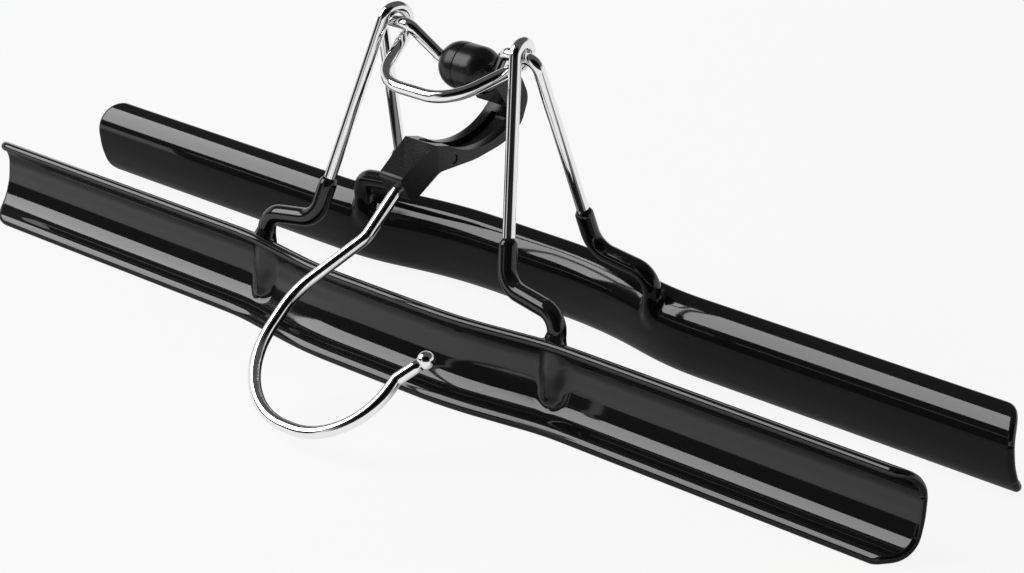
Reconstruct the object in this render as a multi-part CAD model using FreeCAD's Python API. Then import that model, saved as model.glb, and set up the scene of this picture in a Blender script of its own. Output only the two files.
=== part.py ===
import FreeCAD, Part
import math
import os

# Skirt hanger: two coated clamping jaws on bent wire frames, closed by a cam lever that carries the hook.
# Millimetres, +Z up. X runs along the jaws, the rear jaw lies at +Y, and the jaws stand on Z = 0.
# The origin is the middle of the jaws' standing plane.

os.makedirs("parts", exist_ok=True)
V = FreeCAD.Vector

# Wire
wire = 3.0                 # diameter of both frames and of the hook
coat = 0.7                 # thickness of the dipped plastic skin

# Jaw section, as distance outward from the middle plane and height, on the strip's mid line
jaw_length = 300.0
strip = 0.8                # strip thickness
lip_out, lip_up = 23.8, 1.1
flare_out, flare_up = 22.95, 2.6
web_foot_out, web_foot_up = 16.5, 4.8
web_top_out, web_top_up = 14.9, 18.7
flange_out, flange_up = 20.3, 20.6
lip_round, foot_round, top_round = 3.5, 8.2, 6.5
corner_round = 10.0        # corners of the sheet at the jaw ends
corner_overrun = 1.0       # by which a corner's arc overruns the end and the edge
bow_start, bow_flat = 49.0, 22.0
bow_round = 100.0
front_bow, rear_bow = 4.0, 5.8

# Legs of both frames
leg_out = 48.0             # where a leg lies on its jaw
weld_sink = 0.15           # depth by which a leg is welded into the strip
notch_clearance = 0.3      # flange notch around a leg, each side
foot_rise = 2.9            # foot of a leg above the web's lower corner
lower_bend_up = 26.0
lower_bend_round = 5.0
upper_bend = V(31.5, 15.0, 28.4)
upper_bend_round = 6.0
coat_top_up = 38.6         # height where the skin on a leg ends

# Hinge: arches of the rear frame, loops of the front frame
hinge = V(0, 3.0, 76.0)
arch_outer, arch_inner = 25.0, 15.5
arch_round = 3.0
loop_clearance = 0.3
loop_top, loop_middle, loop_low = 20.9, 20.0, 19.1
closing_angle = 24.0

# Bail of the front frame
bail = V(11.2, -12.2, 67.3)
bail_round = 11.0

# Cam lever
lever = V(0, 6.6, 68.6)
lever_turn = -105.0        # travel while the jaws close
run_out = 8.8              # where the rear frame's middle run begins to bend
barrel_half, barrel_end = 7.3, 3.2
barrel_bulge, barrel_bulge_radius = 5.9, 4.75
barrel_flat, barrel_radius = 2.5, 5.75
seam, seam_half, seam_depth = -1.0, 0.2, 0.15  # parting groove around the barrel
barrel_shift = V(0, 0.5, -0.75)  # the barrel is a cam, off the centre of its bore
bore_clearance = 0.08
body_half = 5.1
block_front_half = 3.5
slot_clearance = 0.45
lip_angle = 304.0          # edge of the neck where the bail enters the deep end of the slot
groove_half, groove_depth = 2.5, 1.2
mark, mark_depth = 2.4, 0.3

# Hook, drawn in the plane of X and the stem
stem_foot = V(0, -20.2, 42.8)
stem_angle = 39.0          # below level, towards the front
stem_bend, stem_round = 10.7, 5.0
lean_angle, lean_round = 27.46, 21.0  # run from the stem to the loop
hook_left, hook_right = -9.6, 31.8
hook_low = 59.5
hook_round, hook_right_round = 20.7, 18.4
tip_bend, tip_round = 40.0, 2.5
tip = (36.1, 33.2)
ball = 4.2
head, head_thickness = 4.4, 2.0
head_depth = 9.2           # from the block's face to the head
head_clearance = 0.3


def rounded_path(points, radii):
    """Edges of a polyline with its inner corners rounded."""
    edges = []
    start = points[0]
    for before, corner, after, radius in zip(points, points[1:], points[2:], radii):
        back = (before - corner).normalize()
        on = (after - corner).normalize()
        half = back.getAngle(on) / 2
        first = corner + back * (radius / math.tan(half))
        last = corner + on * (radius / math.tan(half))
        inward = (back + on).normalize()
        middle = corner + inward * (radius / math.sin(half) - radius)
        edges.append(Part.LineSegment(start, first).toShape())
        edges.append(Part.Arc(first, middle, last).toShape())
        start = last
    edges.append(Part.LineSegment(start, points[-1]).toShape())
    return edges


def rod(points, radii, diameter):
    """Round bar along a rounded polyline."""
    path = Part.Wire(rounded_path(points, radii))
    ring = Part.Circle(points[0], points[1] - points[0], diameter / 2).toShape()
    return path.makePipeShell([Part.Wire([ring])], True, False)


def mirrored(points):
    """A right half and its mirror image as one run from left to right."""
    left = [V(-p.x, p.y, p.z) for p in points]
    return left + points[::-1]


def prism(points, half):
    """Solid with a side outline given as (y, z) pairs, to both sides of X = 0."""
    corners = [V(-half, y, z) for y, z in points]
    return Part.Face(Part.makePolygon(corners + corners[:1])).extrude(V(2 * half, 0, 0))


def disc(centre, radius, half):
    """Cylinder along X, to both sides of X = 0."""
    return Part.makeCylinder(radius, 2 * half, V(-half, centre.y, centre.z), V(1, 0, 0))


def polar(centre, radius, angle):
    """The (y, z) pair at an angle about a point, from +Y towards +Z."""
    turn = math.radians(angle)
    return centre.y + radius * math.cos(turn), centre.z + radius * math.sin(turn)


def turned(point, axis, angle):
    """A point turned about a line along X."""
    return axis + FreeCAD.Rotation(V(1, 0, 0), angle).multVec(point - axis)


def moved_line(points, amount):
    """Corners of a polyline in a YZ plane, moved sideways by an amount."""
    normals = []
    for first, last in zip(points, points[1:]):
        normals.append(V(1, 0, 0).cross(last - first).normalize())
    moved = [points[0] + normals[0] * amount]
    for corner, before, after in zip(points[1:], normals, normals[1:]):
        between = (before + after).normalize()
        moved.append(corner + between * (amount / between.dot(before)))
    moved.append(points[-1] + normals[-1] * amount)
    return moved


def band(points, radii, turns, half):
    """Outline of a bent band with rounded edges; turns gives the side of each bend."""
    sides = []
    for amount in (half, -half):
        rounds = [radius - turn * amount for radius, turn in zip(radii, turns)]
        sides.append((moved_line(points, amount), rounds))
    near, near_rounds = sides[0]
    far, far_rounds = sides[1]
    end = points[-1] + (points[-1] - points[-2]).normalize() * half
    start = points[0] + (points[0] - points[1]).normalize() * half
    edges = rounded_path(near, near_rounds)
    edges.append(Part.Arc(near[-1], end, far[-1]).toShape())
    edges += rounded_path(far[::-1], far_rounds[::-1])
    edges.append(Part.Arc(far[0], start, near[0]).toShape())
    return Part.Wire(edges)


def corner_cutter(edge, inward, end, radius):
    """Solid that rounds one corner of a sheet, given its edge and the way from the edge into the sheet."""
    along = V(1, 0, 0) if end < 0 else V(-1, 0, 0)
    through = along.cross(inward)
    base = V(end, edge.y, edge.z) - through * 8 - (along + inward) * corner_overrun
    first = base + inward * radius
    last = base + along * radius
    middle = base + (along + inward) * (radius * (1 - math.sqrt(0.5)))
    outside = [last - inward * 4, base - inward * 4 - along * 4, first - along * 4]
    edges = [Part.Arc(first, middle, last).toShape()]
    corners = [last] + outside + [first]
    for a, b in zip(corners, corners[1:]):
        edges.append(Part.LineSegment(a, b).toShape())
    return Part.Face(Part.Wire(edges)).extrude(through * 16)


def jaw(side, bow, thickness, length, corner):
    """Band with the jaw's section, swept along the jaw, cut to length and rounded at its corners."""
    reach = jaw_length / 2 + 5
    section = [(lip_out, lip_up), (flare_out, flare_up), (web_foot_out, web_foot_up)]
    section += [(web_top_out, web_top_up), (flange_out, flange_up)]
    points = [V(-reach, side * out, up) for out, up in section]
    outline = band(points, [lip_round, foot_round, top_round], [-side, side, side], thickness / 2)
    half_path = [V(reach, 0, 0), V(bow_start, 0, 0), V(bow_flat, side * bow, 0)]
    path = Part.Wire(rounded_path(mirrored(half_path), [bow_round] * 4))
    sheet = path.makePipeShell([outline], True, False)
    sheet = sheet.common(Part.makeBox(length, 160, 120, V(-length / 2, -80, -40)))
    web_middle = (points[2] + points[3]) * 0.5
    for tip, next_point in ((points[0], points[1]), (points[-1], points[-2])):
        edge = tip + (tip - next_point).normalize() * (thickness / 2)
        inward = (web_middle - edge).normalize()
        for end in (length / 2, -length / 2):
            sheet = sheet.cut(corner_cutter(edge, inward, end, corner))
    return sheet


def leg(side, foot_extra):
    """Right leg from its foot on the jaw to the upper bend."""
    foot = V(0, web_foot_out, web_foot_up)
    along = (V(0, web_top_out, web_top_up) - foot).normalize()
    outward = V(0, along.z, -along.y)
    base = foot + outward * (strip / 2 + wire / 2 - weld_sink)
    start = base + along * (foot_rise - foot_extra)
    bend = base + along * ((lower_bend_up - base.z) / along.z)
    return [V(leg_out, side * p.y, p.z) for p in (start, bend)] + [V(upper_bend.x, side * upper_bend.y, upper_bend.z)]


def coated_jaw(side, bow, frame, apex):
    """The strip and the skin of one jaw, with the skin also over the lower legs."""
    strip_length = jaw_length - 2 * coat
    steel = jaw(side, bow, strip, strip_length, corner_round - coat)
    skin = jaw(side, bow, strip + 2 * coat, jaw_length, corner_round)
    for mirror in (1, -1):
        run = [V(mirror * p.x, p.y, p.z) for p in leg(side, coat)]
        knee = run[-1]
        upper = V(mirror * apex.x, apex.y, apex.z) - knee
        run.append(knee + upper * ((coat_top_up - knee.z) / upper.z))
        skin = skin.fuse(rod(run, [lower_bend_round, upper_bend_round], wire + 2 * coat))
        notch_half = wire / 2 + notch_clearance
        seat = side * (web_top_out + wire / 2)
        notch = Part.makeBox(2 * notch_half, 20, 12, V(mirror * leg_out - notch_half, min(seat, seat + side * 20), 14))
        steel = steel.cut(notch)
    steel = steel.cut(frame)
    skin = skin.cut(steel).cut(frame)
    return steel, skin


# Rear wire frame: legs, arches on the hinge line, and the middle run through the lever's barrel
rear_apex = V(arch_outer, hinge.y, hinge.z)
rear_half = leg(1, 0) + [rear_apex, V(arch_inner, hinge.y, hinge.z), V(run_out, lever.y, lever.z)]
rear_rounds = [lower_bend_round, upper_bend_round, arch_round, arch_round, arch_round]
rear_wire_frame = rod(mirrored(rear_half), rear_rounds + rear_rounds[::-1], wire)

# Front wire frame: legs, loops around the arches, side pieces and the bail
loop = wire + loop_clearance
loop_round = loop - 0.15
knee = V(upper_bend.x, -upper_bend.y, upper_bend.z)
to_hinge = hinge - V(0, knee.y, knee.z)
rise = math.atan2(to_hinge.z, to_hinge.y) + math.asin(loop / to_hinge.Length)
loop_front = knee.y + (hinge.z + loop - knee.z) / math.tan(rise)
from_bail = hinge - V(0, bail.y, bail.z)
climb = math.atan2(from_bail.z, from_bail.y) - math.asin(loop / from_bail.Length)
loop_bottom = bail.z + (hinge.y + loop - bail.y) * math.tan(climb)
front_apex = V(loop_top, loop_front, hinge.z + loop)
front_half = leg(-1, 0) + [
    front_apex,
    V(loop_middle, hinge.y + loop, hinge.z + loop),
    V(loop_low, hinge.y + loop, loop_bottom),
    bail,
]
front_rounds = [lower_bend_round, upper_bend_round, loop_round, loop_round, loop_round, bail_round]
front_wire_frame = rod(mirrored(front_half), front_rounds + front_rounds[::-1], wire)

# Jaws: steel strips sealed in their plastic skins
rear_jaw_strip, rear_jaw_coating = coated_jaw(1, rear_bow, rear_wire_frame, rear_apex)
front_jaw_strip, front_jaw_coating = coated_jaw(-1, front_bow, front_wire_frame, front_apex)

# Path of the bail as the lever sees it while the jaws close
stages = []
for part_closed in (0.0, 0.5, 1.0):
    place = turned(V(0, bail.y, bail.z), hinge, closing_angle * part_closed)
    stages.append(turned(place, lever, -lever_turn * part_closed))
slot_arc = Part.Circle(stages[0], stages[1], stages[2])
slot_centre = slot_arc.Center
slot_half = wire / 2 + slot_clearance
slot_outer = slot_arc.Radius + slot_half
slot_inner = slot_arc.Radius - slot_half
slot_end = stages[2] - slot_centre
end_angle = math.degrees(math.atan2(slot_end.z, slot_end.y)) % 360

# Cam lever: body with the curved slot, barrel, and the bores for the middle run and the stem
outline_points = [
    (9.3, 72.2), (18.9, 63.8), (21.4, 58.2), (18.6, 51.8), (12.4, 48.8), (3.0, 47.5), (-9.1, 47.7),
    (-15.7, 43.0), (-17.4, 42.5), (-20.6, 48.6), (-10.0, 54.5),
    (lever.y + barrel_shift.y - barrel_bulge_radius, lever.z + barrel_shift.z),
]
outline_rounds = [4.0, 5.0, 6.0, 14.0, 25.0, 3.0, 1.0, 1.2, 1.2, 1.0]
corners = [V(-body_half, y, z) for y, z in outline_points]
edges = rounded_path(corners, outline_rounds)
edges.append(Part.LineSegment(corners[-1], corners[0]).toShape())
cam_lever = Part.Face(Part.Wire(edges)).extrude(V(2 * body_half, 0, 0))

# Open sector in front of the neck, the lead-in behind the block's ridge, and the deep end of the slot
far = 60.0
sector = [(lever.y, lever.z)] + [polar(lever, far, a) for a in (lip_angle, 255, 205, 150)]
cam_lever = cam_lever.cut(disc(slot_centre, slot_outer, body_half + 1).common(prism(sector, body_half + 1)))
lead_in = [(-10.0, 54.5), (-3.6, 52.7), polar(slot_centre, slot_outer, 264), (5.0, 62.0), (-12.0, 64.0)]
cam_lever = cam_lever.cut(prism(lead_in, body_half + 1))
deep_end = disc(slot_centre, slot_outer, body_half + 1).cut(disc(slot_centre, slot_inner, body_half + 2))
deep_sector = [(slot_centre.y, slot_centre.z)]
deep_sector += [polar(slot_centre, far, a) for a in (end_angle, end_angle - 15, end_angle - 30)]
cam_lever = cam_lever.cut(deep_end.common(prism(deep_sector, body_half + 1)))
cam_lever = cam_lever.cut(disc(stages[2], slot_half, body_half + 1))
groove = disc(slot_centre, slot_outer + groove_depth, groove_half)
groove_sector = [(lever.y, lever.z)] + [polar(lever, far, a) for a in (lip_angle, 270, 238)]
cam_lever = cam_lever.cut(groove.common(prism(groove_sector, groove_half + 1)))

# The block tapers in width towards its front face
for mirror in (1, -1):
    taper = [(body_half, -9.5), (body_half + 4, -9.5), (body_half + 4, -24.0), (block_front_half - 0.5, -24.0)]
    corners = [V(mirror * x, y, 38) for x, y in taper]
    cam_lever = cam_lever.cut(Part.Face(Part.makePolygon(corners + corners[:1])).extrude(V(0, 0, 20)))

# Barrel with rounded ends and a parting groove, turned about the lever axis
profile = []
for mirror in (-1, 1):
    round_end = [V(mirror * barrel_half, barrel_end, 0), V(mirror * barrel_bulge, barrel_bulge_radius, 0)]
    round_end.append(V(mirror * barrel_flat, barrel_radius, 0))
    profile.append(Part.Arc(*round_end).toShape())
crest = [(-barrel_flat, 0), (seam - seam_half, 0), (seam, seam_depth), (seam + seam_half, 0), (barrel_flat, 0)]
crest = [V(x, barrel_radius - depth, 0) for x, depth in crest]
axis_ends = [V(-barrel_half, barrel_end, 0), V(-barrel_half, 0, 0), V(barrel_half, 0, 0), V(barrel_half, barrel_end, 0)]
for run in (crest, axis_ends):
    for a, b in zip(run, run[1:]):
        profile.append(Part.LineSegment(a, b).toShape())
barrel = Part.Wire(Part.__sortEdges__(profile))
barrel = Part.Face(barrel).revolve(V(0, 0, 0), V(1, 0, 0), 360)
barrel.translate(lever + barrel_shift)
cam_lever = cam_lever.fuse(barrel).removeSplitter()
cam_lever = cam_lever.cut(disc(lever, wire / 2 + bore_clearance, barrel_half + 2))

# Hook: stem with a head, bend, loop and a ball on the end
stem = V(0, -math.cos(math.radians(stem_angle)), -math.sin(math.radians(stem_angle)))


def on_hook(across, along):
    """A point of the hook's plane."""
    return stem_foot + V(across, 0, 0) + stem * along


lean = stem_bend - hook_left / math.tan(math.radians(lean_angle))
ball_centre = on_hook(tip[0], tip[1])
tip_run = on_hook(tip[0], tip[1]) - on_hook(hook_right, tip_bend)
hook_points = [
    on_hook(0, -head_depth - head_thickness),
    on_hook(0, stem_bend),
    on_hook(hook_left, lean),
    on_hook(hook_left, hook_low),
    on_hook(hook_right, hook_low),
    on_hook(hook_right, tip_bend),
    ball_centre - tip_run.normalize() * 1.0,
]
hook = rod(hook_points, [stem_round, lean_round, hook_round, hook_right_round, tip_round], wire)
hook_head = Part.makeCylinder(head / 2, head_thickness, hook_points[0], stem)
hook = hook.fuse(hook_head).removeSplitter()
hook_ball = Part.makeSphere(ball / 2, ball_centre).cut(hook)

# Bore for the stem, wider behind for the head, and a round moulding mark on the lever's side
stem_bore = Part.makeCylinder(wire / 2 + bore_clearance, head_depth + 6, on_hook(0, 5), stem * -1)
head_bore = Part.makeCylinder(head / 2 + head_clearance, 14, on_hook(0, 0.2 - head_depth), stem * -1)
cam_lever = cam_lever.cut(stem_bore).cut(head_bore)
cam_lever = cam_lever.cut(Part.makeCylinder(mark / 2, 2, V(body_half - mark_depth, -4.3, 49.6), V(1, 0, 0)))

pieces = {
    "rear_wire_frame": rear_wire_frame,
    "rear_jaw_strip": rear_jaw_strip,
    "rear_jaw_coating": rear_jaw_coating,
    "front_wire_frame": front_wire_frame,
    "front_jaw_strip": front_jaw_strip,
    "front_jaw_coating": front_jaw_coating,
    "cam_lever": cam_lever,
    "hook": hook,
    "hook_ball": hook_ball,
}
for name, shape in pieces.items():
    solids = shape.Solids
    print(name, len(solids), shape.isValid(), round(shape.Volume, 1), shape.BoundBox)
    solids[0].exportStep("parts/" + name + ".step")
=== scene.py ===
import bpy
import math
import numpy as np
from mathutils import Matrix, Vector


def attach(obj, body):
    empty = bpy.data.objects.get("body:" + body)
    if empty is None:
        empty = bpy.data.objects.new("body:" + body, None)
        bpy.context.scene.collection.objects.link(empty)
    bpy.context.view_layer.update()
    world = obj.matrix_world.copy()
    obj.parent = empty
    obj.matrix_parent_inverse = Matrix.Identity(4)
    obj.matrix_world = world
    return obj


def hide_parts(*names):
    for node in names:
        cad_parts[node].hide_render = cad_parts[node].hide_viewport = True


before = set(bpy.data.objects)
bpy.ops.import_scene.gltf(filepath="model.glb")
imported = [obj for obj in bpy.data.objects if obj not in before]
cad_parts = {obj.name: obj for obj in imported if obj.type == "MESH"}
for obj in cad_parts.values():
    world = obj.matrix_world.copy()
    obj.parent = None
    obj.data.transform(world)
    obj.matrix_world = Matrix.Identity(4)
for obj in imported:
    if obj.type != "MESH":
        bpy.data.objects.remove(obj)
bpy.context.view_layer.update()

# Rear wire frame: one length of chromed steel wire, bent cold. Its feet are welded to the rear jaw, its two
# arches carry the front frame, and its middle run carries the lever.

WIRE_RADIUS = 0.0015
LEG_FOOT = (0.048, 0.01791, 0.00788)
LEG_BEND = (0.048, 0.01582, 0.026)
KNEE = (0.0315, 0.0150, 0.0284)
HINGE = Vector((0, 0.0030, 0.0760))
LEVER = Vector((0, 0.0066, 0.0686))
ARCH_OUTER, ARCH_INNER, LEVER_RUN = 0.0250, 0.0155, 0.0088
LEG_ROUND, KNEE_ROUND, ARCH_ROUND = 0.005, 0.006, 0.003
WIRE_PIECE = 0.004


def rounded_line(points, radii, step=math.radians(5)):
    """Points along a polyline with rounded corners, close together on the bends."""
    points = [Vector(p) for p in points]
    line = [points[0]]
    for before, corner, after, radius in zip(points, points[1:], points[2:], radii):
        back, on = (before - corner).normalized(), (after - corner).normalized()
        half = back.angle(on) / 2
        centre = corner + (back + on).normalized() * (radius / math.sin(half))
        first = corner + back * (radius / math.tan(half)) - centre
        axis = back.cross(first)
        turn = math.pi - 2 * half
        count = max(4, int(turn / step))
        for i in range(count + 1):
            line.append(centre + Matrix.Rotation(turn * i / count, 3, axis.normalized()) @ first)
    line.append(points[-1])
    return line


def divided(line, longest):
    """The same line with its long runs cut into shorter ones."""
    fine = [line[0]]
    for a, b in zip(line, line[1:]):
        count = max(1, math.ceil((b - a).length / longest))
        fine += [a.lerp(b, i / count) for i in range(1, count + 1)]
    return fine


def tube_mesh(line, radii, sides=32):
    """Vertices and faces of a round bar along a line, with a radius for each point and flat ends."""
    count = len(line)
    along = [(line[min(i + 1, count - 1)] - line[max(i - 1, 0)]).normalized() for i in range(count)]
    across = along[0].orthogonal().normalized()
    verts, faces = [], []
    for i in range(count):
        across = (across - along[i] * across.dot(along[i])).normalized()
        other = along[i].cross(across)
        for k in range(sides):
            a = 2 * math.pi * k / sides
            verts.append(line[i] + (across * math.cos(a) + other * math.sin(a)) * radii[i])
    for i in range(count - 1):
        for k in range(sides):
            n = (k + 1) % sides
            faces.append((i * sides + k, i * sides + n, (i + 1) * sides + n, (i + 1) * sides + k))
    faces.append(tuple(range(sides))[::-1])
    faces.append(tuple((count - 1) * sides + k for k in range(sides)))
    return verts, faces


def add_mesh(name, verts, faces, material):
    """A mesh object that is smooth all over, apart from the flat ends of bars and bands."""
    mesh = bpy.data.meshes.new(name)
    mesh.from_pydata([tuple(v) for v in verts], [], faces)
    mesh.polygons.foreach_set("use_smooth", [len(f) <= 4 for f in faces])
    mesh.materials.append(material)
    obj = bpy.data.objects.new(name, mesh)
    bpy.context.scene.collection.objects.link(obj)
    return obj


def new_material(name, roughness, metallic):
    """A material with a Principled shader, and its node tree and shader."""
    material = bpy.data.materials.new(name)
    material.use_nodes = True
    shader = material.node_tree.nodes["Principled BSDF"]
    shader.inputs["Roughness"].default_value = roughness
    shader.inputs["Metallic"].default_value = metallic
    return material, material.node_tree, shader


def add_node(tree, kind, values=None, **settings):
    """A new node with its settings and the values of its inputs."""
    node = tree.nodes.new(kind)
    for setting, value in settings.items():
        setattr(node, setting, value)
    for socket, value in (values or {}).items():
        node.inputs[socket].default_value = value
    return node


def link(tree, *pairs):
    """Links, each from an output to an input."""
    for output, socket in pairs:
        tree.links.new(output, socket)


grain_group = bpy.data.node_groups.new("surface_grain", "ShaderNodeTree")
for socket in ("Scale", "Detail", "Smoothest", "Roughest"):
    grain_group.interface.new_socket(socket, in_out="INPUT", socket_type="NodeSocketFloat")
for socket in ("Grain", "Roughness"):
    grain_group.interface.new_socket(socket, in_out="OUTPUT", socket_type="NodeSocketFloat")
given = add_node(grain_group, "NodeGroupInput")
result = add_node(grain_group, "NodeGroupOutput")
place = add_node(grain_group, "ShaderNodeTexCoord")
noise = add_node(grain_group, "ShaderNodeTexNoise")
spread = add_node(grain_group, "ShaderNodeMapRange")
link(
    grain_group,
    (place.outputs["Object"], noise.inputs["Vector"]),
    (given.outputs["Scale"], noise.inputs["Scale"]),
    (given.outputs["Detail"], noise.inputs["Detail"]),
    (given.outputs["Smoothest"], spread.inputs["To Min"]),
    (given.outputs["Roughest"], spread.inputs["To Max"]),
    (noise.outputs["Fac"], spread.inputs["Value"]),
    (noise.outputs["Fac"], result.inputs["Grain"]),
    (spread.outputs["Result"], result.inputs["Roughness"]),
)


def add_grain(tree, scale, detail, smoothest=0.0, roughest=1.0):
    """The shared grain, with one surface's own values."""
    values = {"Scale": scale, "Detail": detail, "Smoothest": smoothest, "Roughest": roughest}
    return add_node(tree, "ShaderNodeGroup", values, node_tree=grain_group)


chrome, tree, shader = new_material("bright_chrome", 0.05, 1.0)
grain = add_grain(tree, scale=900, detail=3, smoothest=0.035, roughest=0.085)
tints = {"A": (0.80, 0.80, 0.81, 1), "B": (0.88, 0.88, 0.88, 1)}
tint = add_node(tree, "ShaderNodeMix", tints, data_type="RGBA")
link(
    tree,
    (grain.outputs["Roughness"], shader.inputs["Roughness"]),
    (grain.outputs["Grain"], tint.inputs["Factor"]),
    (tint.outputs["Result"], shader.inputs["Base Color"]),
)


def both_halves(half):
    """A right half given as points, and its mirror image, as one run."""
    return [(-x, y, z) for x, y, z in half] + list(half)[::-1]


def bent_wire(name, half, radii):
    """A wire that is the same left and right."""
    line = divided(rounded_line(both_halves(half), radii + radii[::-1]), WIRE_PIECE)
    verts, faces = tube_mesh(line, [WIRE_RADIUS] * len(line))
    return add_mesh(name, verts, faces, chrome)


rear_arch = (ARCH_OUTER, HINGE.y, HINGE.z)
rear_wire = bent_wire(
    "rear_wire",
    [LEG_FOOT, LEG_BEND, KNEE, rear_arch, (ARCH_INNER, HINGE.y, HINGE.z), (LEVER_RUN, LEVER.y, LEVER.z)],
    [LEG_ROUND, KNEE_ROUND, ARCH_ROUND, ARCH_ROUND, ARCH_ROUND],
)
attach(rear_wire, "rear_frame")
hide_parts("rear_wire_frame")

# Front wire frame: a second length of the same wire, bent cold and welded to the front jaw. Its legs rise to
# loops around the arches, and its two side pieces come forward to the bail that runs in the lever's slot.

LOOP_GAP = 0.0003
LOOP = 2 * WIRE_RADIUS + LOOP_GAP
LOOP_PLACE, LOOP_LEAN = 0.0200, 0.0009
LOOP_ROUND = LOOP - LOOP_GAP / 2
BAIL = Vector((0.0112, -0.0122, 0.0673))
BAIL_ROUND = 0.0110

knee_y = -KNEE[1]
up_y, up_z = HINGE.y - knee_y, HINGE.z - KNEE[2]
rise = math.atan2(up_z, up_y) + math.asin(LOOP / math.hypot(up_y, up_z))
loop_front = knee_y + (HINGE.z + LOOP - KNEE[2]) / math.tan(rise)
back_y, back_z = HINGE.y - BAIL.y, HINGE.z - BAIL.z
climb = math.atan2(back_z, back_y) - math.asin(LOOP / math.hypot(back_y, back_z))
loop_bottom = BAIL.z + (HINGE.y + LOOP - BAIL.y) * math.tan(climb)
front_arch = (LOOP_PLACE + LOOP_LEAN, loop_front, HINGE.z + LOOP)
front_wire = bent_wire(
    "front_wire",
    [
        (LEG_FOOT[0], -LEG_FOOT[1], LEG_FOOT[2]),
        (LEG_BEND[0], -LEG_BEND[1], LEG_BEND[2]),
        (KNEE[0], knee_y, KNEE[2]),
        front_arch,
        (LOOP_PLACE, HINGE.y + LOOP, HINGE.z + LOOP),
        (LOOP_PLACE - LOOP_LEAN, HINGE.y + LOOP, loop_bottom),
        tuple(BAIL),
    ],
    [LEG_ROUND, KNEE_ROUND, LOOP_ROUND, LOOP_ROUND, LOOP_ROUND, BAIL_ROUND],
)
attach(front_wire, "front_frame")
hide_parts("front_wire_frame")

# Jaw strips: pressed steel, bowed away from each other in the middle, with rounded corners. The legs are spot
# welded to them. They are sealed inside the coatings and seen only where a coating is cut open.

STRIP_HALF = 0.0004
COAT = 0.0007
SECTION = [
    (0.02382, 0.0011),
    (0.0235, 0.00175),
    (0.0184, 0.0026),
    (0.0159, 0.0095),
    (0.0149, 0.0187),
    (0.0203, 0.0206),
]
SECTION_ROUNDS = [0.0013, 0.0068, 0.0160, 0.0065]
SECTION_PIECE = 0.0006
JAW_HALF = 0.150
JAWS = {"rear": (1, 0.0058), "front": (-1, 0.0040)}
PLAN_HALF, BOW_START, BOW_FLAT, BOW_ROUND = 0.155, 0.049, 0.022, 0.100
PLAN_PIECE, PLAN_NEAR = 0.002, 0.0005
CORNER_HIGH, LIP_CORNER, FLANGE_CORNER = 0.0085, 0.0068, 0.0045
EDGE_ROWS = 7
LEG_START, LEG_END = 0.036, 0.060
BOW_STATIONS, LEG_STATIONS, PLAIN_STATIONS, CORNER_STATIONS, END_STATIONS = 18, 60, 40, 24, 10
END_TURN = math.radians(85)

bare_steel, tree, shader = new_material("bare_steel", 0.4, 1.0)
shader.inputs["Base Color"].default_value = (0.5, 0.5, 0.52, 1)

section_corners = [Vector((0, out, up)) for out, up in SECTION]
section_points = divided(rounded_line(section_corners, SECTION_ROUNDS, math.radians(4)), SECTION_PIECE)
section = np.array([(p.y, p.z) for p in section_points])
section_run = np.concatenate([[0], np.cumsum(np.linalg.norm(np.diff(section, axis=0), axis=1))])


def section_rows(half, share, lip, flange):
    """Outline of the band as (out, up) rows, how far each lies ahead, and how many rows one face has."""
    trim_lip, trim_flange = (CORNER_HIGH * (1 - math.sqrt(1 - part ** 2)) for part in (lip, flange))
    run = trim_lip + section_run * (1 - (trim_lip + trim_flange) / section_run[-1])
    line = np.stack([np.interp(run, section_run, section[:, i]) for i in (0, 1)], 1)
    along = np.gradient(line, axis=0)
    along /= np.linalg.norm(along, axis=1)[:, None]
    side = np.stack([along[:, 1], -along[:, 0]], 1) * (half * share)
    turn = np.linspace(0, math.pi, EDGE_ROWS + 2)[1:-1, None]
    beyond = half * (np.sqrt(1 - (share * np.cos(turn)) ** 2) - math.sqrt(1 - share ** 2))
    top = line[-1] + side[-1] * np.cos(turn) + along[-1] * beyond * math.sqrt(1 - flange ** 2)
    foot = line[0] - side[0] * np.cos(turn) - along[0] * beyond * math.sqrt(1 - lip ** 2)
    face = np.zeros(len(line))
    ahead = np.concatenate([face, beyond[:, 0] * flange, face, beyond[:, 0] * lip])
    return np.concatenate([line + side, top, (line - side)[::-1], foot]), ahead, len(line)


def stations(half, reach):
    """Places along half a jaw, each with its share of the thickness and its parts of the two corners."""
    last = reach - half
    corner_turn = np.linspace(0, math.pi / 2, CORNER_STATIONS, False)
    places = [
        np.linspace(0, LEG_START, BOW_STATIONS, False),
        np.linspace(LEG_START, LEG_END, LEG_STATIONS, False),
        np.linspace(LEG_END, last - LIP_CORNER, PLAIN_STATIONS, False),
        last - LIP_CORNER * (1 - np.sin(corner_turn)),
    ]
    found = []
    for s in np.concatenate(places):
        lip, flange = (max(0.0, 1 - (last - s) / long) for long in (LIP_CORNER, FLANGE_CORNER))
        found.append((s, 1.0, lip, flange))
    for a in np.linspace(0, END_TURN, END_STATIONS):
        found.append((last + half * math.sin(a), math.cos(a), 1.0, 1.0))
    return found


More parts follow.
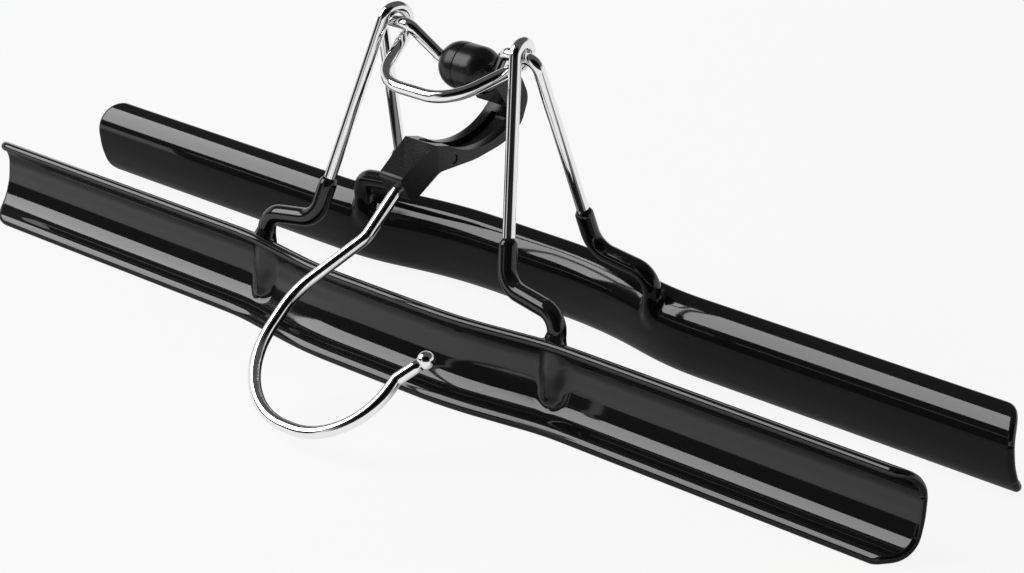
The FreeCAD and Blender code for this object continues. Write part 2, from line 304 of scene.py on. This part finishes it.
def jaw_band(side, bow, half, reach):
    """A jaw's band: its points, its faces, the way each point faces, and which are on the outer face."""
    plan = [(PLAN_HALF, 0, 0), (BOW_START, 0, 0), (BOW_FLAT, side * bow, 0)]
    path = divided(rounded_line(both_halves(plan), [BOW_ROUND] * 4, math.radians(0.5)), PLAN_PIECE)
    length = np.concatenate([[0], np.cumsum([(b - a).length for a, b in zip(path, path[1:])])])
    xs, ys = np.array([p.x for p in path]), np.array([p.y for p in path])
    middle = length[-1] / 2
    stretch = (middle - (PLAN_HALF - JAW_HALF)) / JAW_HALF
    half_stations = stations(half, reach)
    columns = [(-s, *rest) for s, *rest in half_stations[:0:-1]] + half_stations
    verts, normals = [], []
    for s, *shape in columns:
        rows, ahead, count = section_rows(half, *shape)
        where = middle + np.sign(s) * (abs(s) + ahead) * stretch
        x, y = np.interp(where, length, xs), np.interp(where, length, ys)
        dx = np.interp(where + PLAN_NEAR, length, xs) - np.interp(where - PLAN_NEAR, length, xs)
        dy = np.interp(where + PLAN_NEAR, length, ys) - np.interp(where - PLAN_NEAR, length, ys)
        norm = np.hypot(dx, dy)
        out_x, out_y = -side * dy / norm, side * dx / norm
        verts.append(np.stack([x + out_x * rows[:, 0], y + out_y * rows[:, 0], rows[:, 1]], 1))
        du, dz = (np.roll(rows, -1, 0) - np.roll(rows, 1, 0)).T
        flat = np.hypot(du, dz) + 1e-12
        normals.append(np.stack([out_x * dz / flat, out_y * dz / flat, -du / flat], 1))
    rows, total = len(verts[0]), len(columns)
    outer = np.tile(np.arange(rows) < count + EDGE_ROWS, total)
    faces = []
    for c in range(total - 1):
        for r in range(rows):
            n = (r + 1) % rows
            quad = (c * rows + r, (c + 1) * rows + r, (c + 1) * rows + n, c * rows + n)
            faces.append(quad if side < 0 else quad[::-1])
    for c in (0, total - 1):
        ring = [c * rows + r for r in range(rows)]
        faces.append(tuple(ring if (c == 0) == (side < 0) else ring[::-1]))
    return np.concatenate(verts), faces, np.concatenate(normals), outer


for name, (side, bow) in JAWS.items():
    points, faces = jaw_band(side, bow, STRIP_HALF, JAW_HALF - COAT)[:2]
    strip = add_mesh(name + "_steel", points, faces, bare_steel)
    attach(strip, name + "_frame")
    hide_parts(name + "_jaw_strip")

# Jaw coatings: soft black plastic, dipped over the strip and the lower legs in one skin. It is glossy, round
# on every edge, and drawn up into fillets where a leg lies on the jaw.

LEG_SKIN = 0.0022
RIB_FOOT = (0.048, 0.01770, 0.0072)
RIB, RIB_END = 0.0027, 0.0016
RIB_START, RIB_GROWTH = 0.0048, 0.009
WEB_FILLET, FLANGE_FILLET = 0.0030, 0.0014
WEB_TOP, WEB_FADE = 0.0185, 0.004
BACK_START, BACK_FADE = 0.0125, 0.003
LEG_FREE, LEG_FADE = 0.0165, 0.005
SPINE_TOP, SPINE_PIECE = 0.030, 0.0003
FILLET_REACH = 0.0118
FILLET_HIGH, FILLET_STEP, TOUCHING = 0.0042, 0.00005, 1e-7
COAT_TOP = 0.0386
SLEEVE_PIECE, SLEEVE_ROUND, SLEEVE_EDGE = 0.0012, 0.0016, 0.00003

soft_black, tree, shader = new_material("dipped_plastic", 0.10, 0.0)
shader.inputs["Base Color"].default_value = (0.010, 0.010, 0.011, 1)
ripple = add_grain(tree, scale=60, detail=1)
bump = add_node(tree, "ShaderNodeBump", {"Strength": 0.015, "Distance": 0.0006})
speck = add_grain(tree, scale=700, detail=2, smoothest=0.05, roughest=0.09)
link(
    tree,
    (ripple.outputs["Grain"], bump.inputs["Height"]),
    (bump.outputs["Normal"], shader.inputs["Normal"]),
    (speck.outputs["Roughness"], shader.inputs["Roughness"]),
)


def ramp(value, length):
    """The part of a length that a value has covered, from 0 to 1."""
    return np.clip(value / length, 0, 1)


def eased(value, length):
    """The same, with a soft start and end."""
    part = ramp(value, length)
    return part ** 2 * (3 - 2 * part)


def leg_line(side, arch, mirror):
    """Centre line of a coated leg, from its foot to the top of the skin."""
    foot, bend, knee = (Vector((mirror * p[0], side * p[1], p[2])) for p in (LEG_FOOT, LEG_BEND, KNEE))
    end = Vector((mirror * arch[0], arch[1], arch[2]))
    top = knee + (end - knee) * ((COAT_TOP - knee.z) / (end.z - knee.z))
    return divided(rounded_line([foot, bend, knee, top], [LEG_ROUND, KNEE_ROUND]), SLEEVE_PIECE)


def drawn_out(base, push, fillet, spine, thick):
    """How far each point of a jaw goes out, the way it faces, to a skin that blends jaw and leg."""
    best, before, live = np.zeros(len(base)), np.zeros(len(base)), np.arange(len(base))
    for t in np.arange(0, FILLET_HIGH, FILLET_STEP):
        p = base[live] + push[live] * t
        gap = (np.sqrt(((p[:, None] - spine[None]) ** 2).sum(2)) - thick).min(1)
        blend = np.clip(0.5 + 0.5 * (gap - t) / fillet[live], 0, 1)
        joined = gap * (1 - blend) + t * blend - fillet[live] * blend * (1 - blend)
        out = joined > -TOUCHING
        best[live] = t
        if t > 0:
            best[live[out]] -= FILLET_STEP * joined[out] / (joined[out] - before[live[out]])
        before[live] = joined
        live = live[~out]
        if not len(live):
            break
    return best


def leg_sleeve(line):
    """The skin of a free leg, rounded off at its top."""
    run = np.concatenate([[0], np.cumsum([(b - a).length for a, b in zip(line, line[1:])])])
    short = 1 - ramp(run[-1] - run, SLEEVE_ROUND)
    radii = WIRE_RADIUS + SLEEVE_EDGE + (LEG_SKIN - WIRE_RADIUS) * np.sqrt(1 - short ** 2)
    return tube_mesh(line, list(radii))


def jaw_skin(name, side, bow, arch):
    """The skin of one jaw with its legs, as one mesh."""
    grid, faces, facing, outer = jaw_band(side, bow, STRIP_HALF + COAT, JAW_HALF)
    sleeves = []
    for mirror in (1, -1):
        line = leg_line(side, arch, mirror)
        sleeves.append(leg_sleeve([p for p in line if p.z > LEG_FREE]))
        rib_foot = Vector((mirror * RIB_FOOT[0], side * RIB_FOOT[1], RIB_FOOT[2]))
        spine = np.array(divided([rib_foot] + [p for p in line if p.z < SPINE_TOP], SPINE_PIECE))
        grown = eased(spine[:, 2] - RIB_START, RIB_GROWTH)
        freed = eased(spine[:, 2] - LEG_FREE, LEG_FADE)
        thick = RIB_END + (RIB - RIB_END) * grown + (LEG_SKIN - RIB) * freed
        beside_leg = np.abs(grid[:, 0] - mirror * LEG_FOOT[0]) < FILLET_REACH
        near = (outer | (grid[:, 2] > BACK_START)) & beside_leg
        base, push = grid[near], facing[near]
        share = np.where(outer[near], 1.0, ramp(base[:, 2] - BACK_START, BACK_FADE))
        on_web = outer[near] * ramp(WEB_TOP - base[:, 2], WEB_FADE)
        fillet = FLANGE_FILLET + (WEB_FILLET - FLANGE_FILLET) * on_web
        grid[near] = base + push * (drawn_out(base, push, fillet, spine, thick) * share)[:, None]
    verts = list(map(tuple, grid))
    for sleeve_verts, sleeve_faces in sleeves:
        start = len(verts)
        verts += [tuple(v) for v in sleeve_verts]
        faces += [tuple(i + start for i in f) for f in sleeve_faces]
    return add_mesh(name, verts, faces, soft_black)


for name, arch in (("rear", rear_arch), ("front", front_arch)):
    skin = jaw_skin(name + "_jaw_skin", *JAWS[name], arch)
    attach(skin, name + "_frame")
    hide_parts(name + "_jaw_coating")

# Cam lever: one satin black moulding. The barrel turns on the rear frame's middle run, the curved arm holds
# the bail, and the block holds the hook's stem. The solid from the frame is kept, with softened edges.

LEVER_EDGE = 0.0005
SHARP_EDGE = math.radians(35)

moulded, tree, shader = new_material("moulded_plastic", 0.36, 0.0)
shader.inputs["Base Color"].default_value = (0.011, 0.011, 0.012, 1)
shader.inputs["Specular IOR Level"].default_value = 0.32
grain = add_grain(tree, scale=1500, detail=2, smoothest=0.20, roughest=0.32)
bump = add_node(tree, "ShaderNodeBump", {"Strength": 0.05, "Distance": 0.0001})
link(
    tree,
    (grain.outputs["Roughness"], shader.inputs["Roughness"]),
    (grain.outputs["Grain"], bump.inputs["Height"]),
    (bump.outputs["Normal"], shader.inputs["Normal"]),
)
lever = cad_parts["cam_lever"]
lever.data.materials.clear()
lever.data.materials.append(moulded)
weld = lever.modifiers.new("join", "WELD")
weld.merge_threshold = 0.00001
soften = lever.modifiers.new("soft_edges", "BEVEL")
soften.width = LEVER_EDGE
soften.segments = 3
soften.limit_method = "ANGLE"
soften.angle_limit = SHARP_EDGE

# Hook: chromed steel wire of the same size, bent cold to an open round loop. Its stem turns in the lever's
# block, and its end carries the ball.

STEM_FOOT = Vector((0, -0.0202, 0.0428))
STEM_TILT = math.radians(39)
STEM = Vector((0, -math.cos(STEM_TILT), -math.sin(STEM_TILT)))
STEM_INSIDE, NECK_START = 0.0092, 0.0107
NECK_SLOPE = 0.887 / 0.461
HOOK_LEFT, HOOK_RIGHT, HOOK_FAR = 0.0096, 0.0318, 0.0595
TIP_BEND, TIP_INSIDE = 0.0400, 0.001
BALL_ACROSS, BALL_ALONG = 0.0361, 0.0332
HOOK_ROUNDS = [0.005, 0.021, 0.0207, 0.0184, 0.0025]
HOOK_PIECE = 0.003


def on_hook(across, along):
    """A point of the hook's plane, across the stem and along it."""
    return STEM_FOOT + Vector((across, 0, 0)) + STEM * along


ball_centre = on_hook(BALL_ACROSS, BALL_ALONG)
tip_bend = on_hook(HOOK_RIGHT, TIP_BEND)
hook_corners = [
    on_hook(0, -STEM_INSIDE),
    on_hook(0, NECK_START),
    on_hook(-HOOK_LEFT, NECK_START + HOOK_LEFT * NECK_SLOPE),
    on_hook(-HOOK_LEFT, HOOK_FAR),
    on_hook(HOOK_RIGHT, HOOK_FAR),
    tip_bend,
    ball_centre - (ball_centre - tip_bend).normalized() * TIP_INSIDE,
]
hook_line = divided(rounded_line(hook_corners, HOOK_ROUNDS, math.radians(3)), HOOK_PIECE)
verts, faces = tube_mesh(hook_line, [WIRE_RADIUS] * len(hook_line))
hook = add_mesh("hook_wire", verts, faces, chrome)
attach(hook, "swivel_hook")
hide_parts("hook")

# Hook ball: a small steel ball that keeps the cut end of the wire from scratching. It is welded to the end of
# the hook and chromed with it.

BALL_RADIUS = 0.0021

bpy.ops.mesh.primitive_uv_sphere_add(segments=48, ring_count=24, radius=BALL_RADIUS, location=ball_centre)
ball = bpy.context.object
ball.name = "hook_end_ball"
ball.data.polygons.foreach_set("use_smooth", [True] * len(ball.data.polygons))
ball.data.materials.append(chrome)
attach(ball, "swivel_hook")
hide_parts("hook_ball")

# Floor: a plain pale sheet that keeps the hanger's shadow. Most of what the camera sees of it is its own even
# glow. In reflections, the part of it below the jaws glows less than the rest: painted shade for the jaws'
# shadow.

FLOOR_SIZE = 6
SEEN_GLOW, MIRRORED_GLOW = 0.90, 0.90
# Painted shade: where the glow that reflections see is dimmed, below and between the jaws.
PAINTED_JAW_SHADE = (0.020, 0.060, 0.20, 1.0)


def smooth_range(tree, start, end, first, last):
    """A node that goes softly from one value to another while its input goes from start to end."""
    values = {"From Min": start, "From Max": end, "To Min": first, "To Max": last}
    return add_node(tree, "ShaderNodeMapRange", values, interpolation_type="SMOOTHSTEP")


pale, tree, shader = new_material("pale_floor", 0.9, 0.0)
shader.inputs["Base Color"].default_value = (0.86, 0.86, 0.86, 1)
ray = add_node(tree, "ShaderNodeLightPath")
place = add_node(tree, "ShaderNodeTexCoord")
apart = add_node(tree, "ShaderNodeSeparateXYZ")
distance = add_node(tree, "ShaderNodeMath", operation="ABSOLUTE")
# Painted shade: the glow seen in reflections is dimmed near the jaws, standing in for their shadow.
painted_jaw_shade = smooth_range(tree, *PAINTED_JAW_SHADE)
brightness = add_node(tree, "ShaderNodeMath", operation="MAXIMUM")
mirrored = add_node(tree, "ShaderNodeMath", {1: MIRRORED_GLOW}, operation="MULTIPLY")
glow_share = add_node(tree, "ShaderNodeMath", {1: SEEN_GLOW}, operation="MULTIPLY_ADD")
glow = add_node(tree, "ShaderNodeEmission")
mix = add_node(tree, "ShaderNodeMixShader")
link(
    tree,
    (place.outputs["Object"], apart.inputs["Vector"]),
    (apart.outputs["Y"], distance.inputs[0]),
    (distance.outputs["Value"], painted_jaw_shade.inputs["Value"]),
    (painted_jaw_shade.outputs["Result"], brightness.inputs[0]),
    (ray.outputs["Is Camera Ray"], brightness.inputs[1]),
    (brightness.outputs["Value"], glow.inputs["Color"]),
    (ray.outputs["Is Glossy Ray"], mirrored.inputs[0]),
    (ray.outputs["Is Camera Ray"], glow_share.inputs[0]),
    (mirrored.outputs["Value"], glow_share.inputs[2]),
    (glow_share.outputs["Value"], mix.inputs["Fac"]),
    (shader.outputs["BSDF"], mix.inputs[1]),
    (glow.outputs["Emission"], mix.inputs[2]),
    (mix.outputs["Shader"], tree.nodes["Material Output"].inputs["Surface"]),
)
bpy.ops.mesh.primitive_plane_add(size=FLOOR_SIZE)
floor = bpy.context.object
floor.name = "floor"
floor.data.materials.append(pale)

# Room: white all round at the height of the hanger, with a dark patch behind the camera, a dark ceiling and a
# dark board at the left. These give the black plastic its dark faces between the light stripes.

FORWARD = Vector((-0.63604, 0.66419, -0.39282))
BOARD = (-0.657, -0.727, 0.200)
CAMERA_SHADE = (0.55, 0.80, 0.90, 0.02)
CEILING_SHADE = (0.25, 0.50, 1.0, 0.10)
BOARD_SHADE = (0.86, 0.95, 1.0, 0.04)

world = bpy.data.worlds.new("white_room")
bpy.context.scene.world = world
world.use_nodes = True
tree = world.node_tree
sky = tree.nodes["Background"]
outward = add_node(tree, "ShaderNodeTexCoord")
towards_camera = add_node(tree, "ShaderNodeVectorMath", {1: -FORWARD}, operation="DOT_PRODUCT")
camera_patch = smooth_range(tree, *CAMERA_SHADE)
height = add_node(tree, "ShaderNodeSeparateXYZ")
ceiling = smooth_range(tree, *CEILING_SHADE)
towards_board = add_node(tree, "ShaderNodeVectorMath", {1: BOARD}, operation="DOT_PRODUCT")
board = smooth_range(tree, *BOARD_SHADE)
patch_and_ceiling = add_node(tree, "ShaderNodeMath", operation="MULTIPLY")
all_three = add_node(tree, "ShaderNodeMath", operation="MULTIPLY")
ray = add_node(tree, "ShaderNodeLightPath")
brightness = add_node(tree, "ShaderNodeMath", operation="MAXIMUM")
link(
    tree,
    (outward.outputs["Generated"], towards_camera.inputs[0]),
    (outward.outputs["Generated"], height.inputs["Vector"]),
    (outward.outputs["Generated"], towards_board.inputs[0]),
    (towards_camera.outputs["Value"], camera_patch.inputs["Value"]),
    (height.outputs["Z"], ceiling.inputs["Value"]),
    (towards_board.outputs["Value"], board.inputs["Value"]),
    (camera_patch.outputs["Result"], patch_and_ceiling.inputs[0]),
    (ceiling.outputs["Result"], patch_and_ceiling.inputs[1]),
    (patch_and_ceiling.outputs["Value"], all_three.inputs[0]),
    (board.outputs["Result"], all_three.inputs[1]),
    (all_three.outputs["Value"], brightness.inputs[0]),
    (ray.outputs["Is Camera Ray"], brightness.inputs[1]),
    (brightness.outputs["Value"], sky.inputs["Color"]),
)

# Lamp: one large soft box at the left, above the hanger and turned to its middle. It draws the light stripes
# along the jaws.

LAMP_PLACE = Vector((-1.02, -0.754, 0.99))
LAMP_TARGET = Vector((0, 0, 0.01))
LAMP_WIDE, LAMP_DEEP, LAMP_WATTS = 0.90, 1.17, 17.5

lamp = bpy.data.lights.new("left_box", "AREA")
lamp.shape = "RECTANGLE"
lamp.size, lamp.size_y = LAMP_WIDE, LAMP_DEEP
lamp.energy = LAMP_WATTS
ahead = (LAMP_TARGET - LAMP_PLACE).normalized()
level = (Vector((1, 0, 0)) - ahead * ahead.x).normalized()
soft_box = bpy.data.objects.new("left_box", lamp)
soft_box.location = LAMP_PLACE
soft_box.rotation_euler = Matrix((level, level.cross(ahead), -ahead)).transposed().to_euler()
bpy.context.scene.collection.objects.link(soft_box)

# Camera: a long lens, above the front right of the hanger. Its place, its direction and its focal length, in
# pixels of a picture 1024 wide, were fitted to the photograph.

CAMERA = Vector((0.48441, -0.48626, 0.30742))
RIGHT = Vector((0.72751, 0.68586, -0.01830))
FOCAL_PIXELS, PICTURE_WIDE, SENSOR = 3126, 1024, 36

lens = bpy.data.cameras.new("camera")
lens.sensor_width = SENSOR
lens.lens = FOCAL_PIXELS / PICTURE_WIDE * SENSOR
lens.clip_start = 0.01
camera = bpy.data.objects.new("camera", lens)
up = RIGHT.cross(FORWARD)
camera.matrix_world = Matrix.Translation(CAMERA) @ Matrix((RIGHT, up, -FORWARD)).transposed().to_4x4()
bpy.context.scene.collection.objects.link(camera)
bpy.context.scene.camera = camera
bpy.context.scene.view_settings.view_transform = "Standard"
